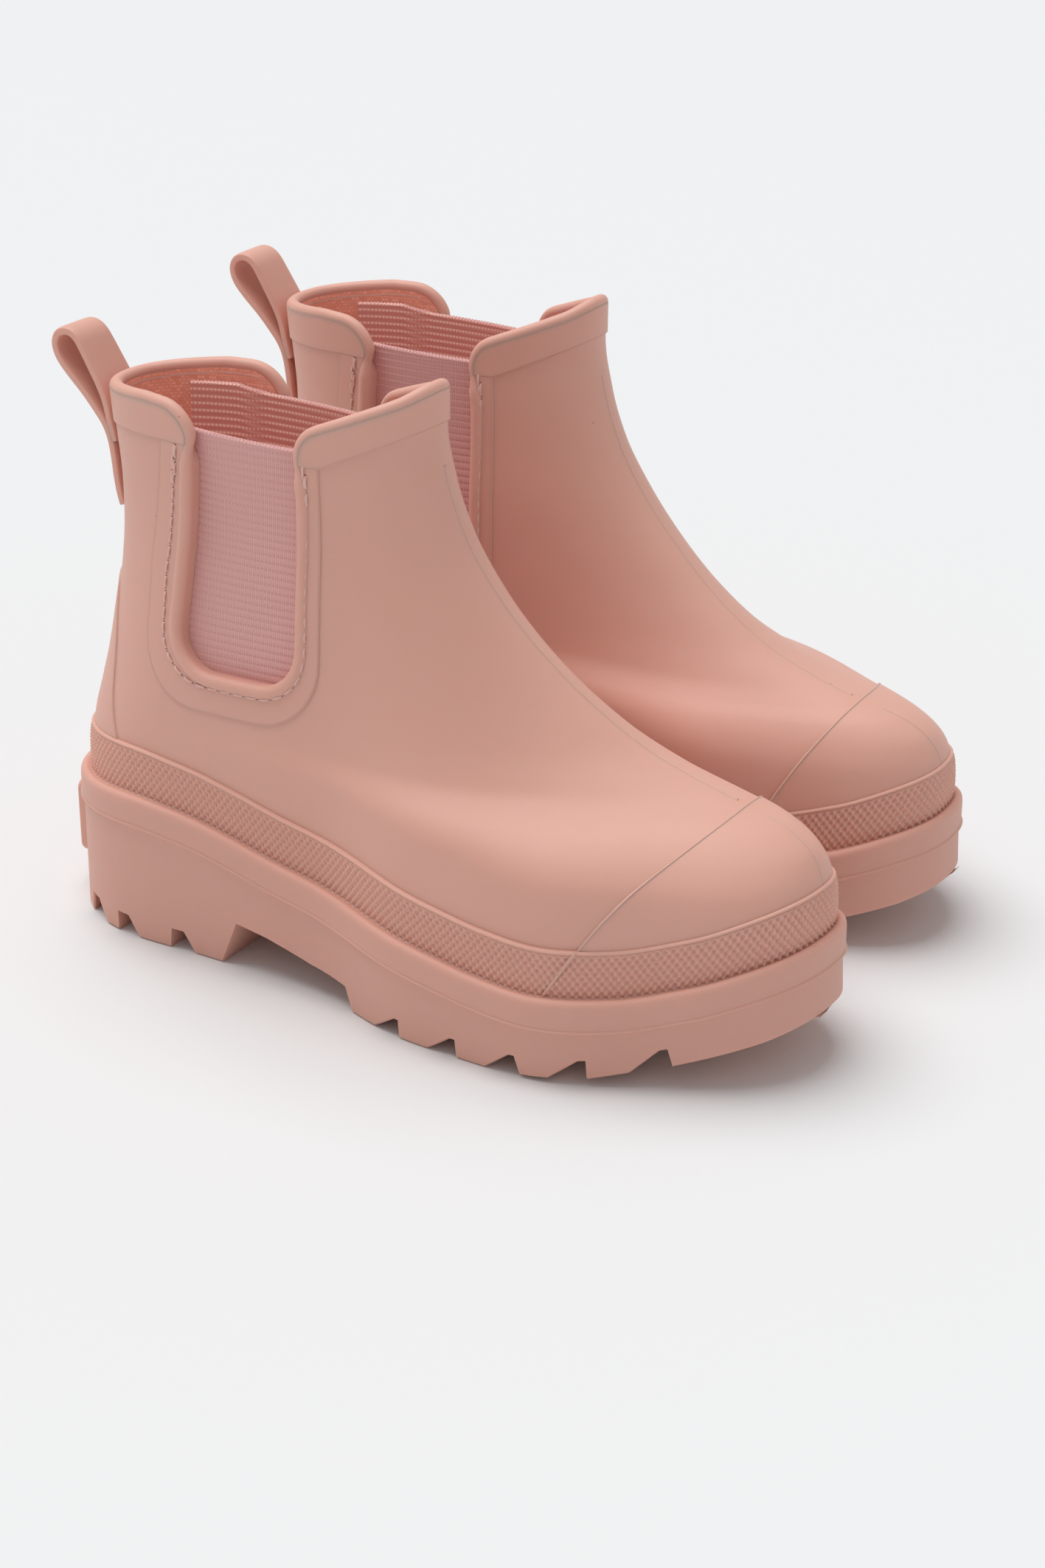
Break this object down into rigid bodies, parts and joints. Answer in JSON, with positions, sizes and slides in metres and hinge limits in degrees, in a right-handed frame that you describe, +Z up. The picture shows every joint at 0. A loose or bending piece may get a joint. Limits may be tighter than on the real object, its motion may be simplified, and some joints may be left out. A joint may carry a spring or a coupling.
{
  "type": "pair of rain boots",
  "caption": "Pair of short moulded rain boots with elastic side gores, pull loops at the back and thick lugged soles with a raised arch.",
  "frame": {"origin": "on the floor, under the middle of the pair's overall box", "axes": "+X from heel to toe, +Y from the right boot to the left boot, +Z up"},
  "size_m": [0.2118, 0.163, 0.1458],
  "materials": {
    "moulded_upper": "soft matte moulded, salmon pink",
    "moulded_sole": "soft matte moulded, salmon pink",
    "ribbed_elastic": "ribbed woven elastic",
    "knit_lining": "fine knit",
    "footbed": "knit over foam",
    "thread": "matte sewing thread"
  },
  "bodies": {
    "right_boot": {"right_upper_shell": "moulded_upper", "right_toe_cap": "moulded_upper", "right_foxing_band": "moulded_upper", "right_heel_counter": "moulded_upper", "right_front_collar": "moulded_upper", "right_lining": "knit_lining", "right_insole": "footbed", "right_gore_frame_outer": "moulded_upper", "right_gore_elastic_outer": "ribbed_elastic", "right_gore_stitches_outer": "thread", "right_gore_frame_inner": "moulded_upper", "right_gore_elastic_inner": "ribbed_elastic", "right_gore_stitches_inner": "thread", "right_midsole": "moulded_sole", "right_outsole": "moulded_sole", "right_heel_badge": "moulded_sole"},
    "right_back_flap": {"right_back_panel": "moulded_upper", "right_back_collar": "moulded_upper", "right_back_lining": "knit_lining", "right_back_stitches": "thread", "right_loop_tab": "moulded_upper"},
    "right_loop": {"right_pull_loop": "moulded_upper"},
    "left_boot": {"left_upper_shell": "moulded_upper", "left_toe_cap": "moulded_upper", "left_foxing_band": "moulded_upper", "left_heel_counter": "moulded_upper", "left_front_collar": "moulded_upper", "left_lining": "knit_lining", "left_insole": "footbed", "left_gore_frame_outer": "moulded_upper", "left_gore_elastic_outer": "ribbed_elastic", "left_gore_stitches_outer": "thread", "left_gore_frame_inner": "moulded_upper", "left_gore_elastic_inner": "ribbed_elastic", "left_gore_stitches_inner": "thread", "left_midsole": "moulded_sole", "left_outsole": "moulded_sole", "left_heel_badge": "moulded_sole"},
    "left_back_flap": {"left_back_panel": "moulded_upper", "left_back_collar": "moulded_upper", "left_back_lining": "knit_lining", "left_back_stitches": "thread", "left_loop_tab": "moulded_upper"},
    "left_loop": {"left_pull_loop": "moulded_upper"}
  },
  "joints": [
    {"name": "right_collar_stretch", "type": "hinge", "parent": "right_boot", "child": "right_back_flap", "pos_m": [-0.08508, -0.03909, 0.085], "axis": [-0.0182, -0.9998, 0], "range_deg": [0, 12], "stiffness_Nm_per_rad": 3, "deforming": ["right_gore_elastic_outer", "right_gore_elastic_inner"]},
    {"name": "right_loop_flex", "type": "hinge", "parent": "right_back_flap", "child": "right_loop", "pos_m": [-0.08768, -0.03904, 0.12115], "axis": [-0.0182, -0.9998, 0], "range_deg": [0, 40], "stiffness_Nm_per_rad": 0.05},
    {"name": "left_collar_stretch", "type": "hinge", "parent": "left_boot", "child": "left_back_flap", "pos_m": [-0.08908, 0.03909, 0.085], "axis": [0.0182, -0.9998, 0], "range_deg": [0, 12], "stiffness_Nm_per_rad": 3, "deforming": ["left_gore_elastic_outer", "left_gore_elastic_inner"]},
    {"name": "left_loop_flex", "type": "hinge", "parent": "left_back_flap", "child": "left_loop", "pos_m": [-0.09169, 0.03904, 0.12115], "axis": [0.0182, -0.9998, 0], "range_deg": [0, 40], "stiffness_Nm_per_rad": 0.05},
    {"name": "left_boot_lift", "type": "slide", "parent": "right_boot", "child": "left_boot", "axis": [0, 0, 1], "range_m": [0, 0.2]}
  ]
}
